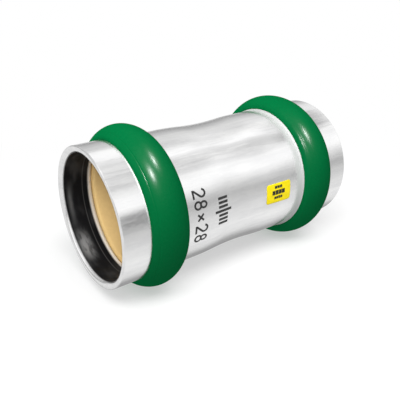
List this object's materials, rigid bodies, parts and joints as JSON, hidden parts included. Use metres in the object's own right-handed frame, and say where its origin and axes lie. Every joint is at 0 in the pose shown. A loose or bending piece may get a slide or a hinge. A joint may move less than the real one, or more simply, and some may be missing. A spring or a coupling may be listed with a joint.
{
  "type": "straight press coupling",
  "caption": "Straight press coupling for thin-walled pipe: a steel sleeve with a beaded socket at each end, a rubber seal in each bead and a green press indicator ring over it.",
  "frame": {"origin": "middle of the lower mouth's end face, on the pipe axis", "axes": "+Z along the pipe axis, from the lower mouth to the upper one"},
  "size_m": [0.038, 0.038, 0.0658],
  "materials": {
    "steel": "satin stainless steel with a fine grain along the axis",
    "seal_rubber": "matte tan rubber",
    "indicator_plastic": "glossy green moulded plastic"
  },
  "bodies": {
    "root": {"sleeve": "steel", "lower_seal": "seal_rubber", "upper_seal": "seal_rubber", "lower_indicator_ring": "indicator_plastic", "upper_indicator_ring": "indicator_plastic"}
  },
  "joints": []
}
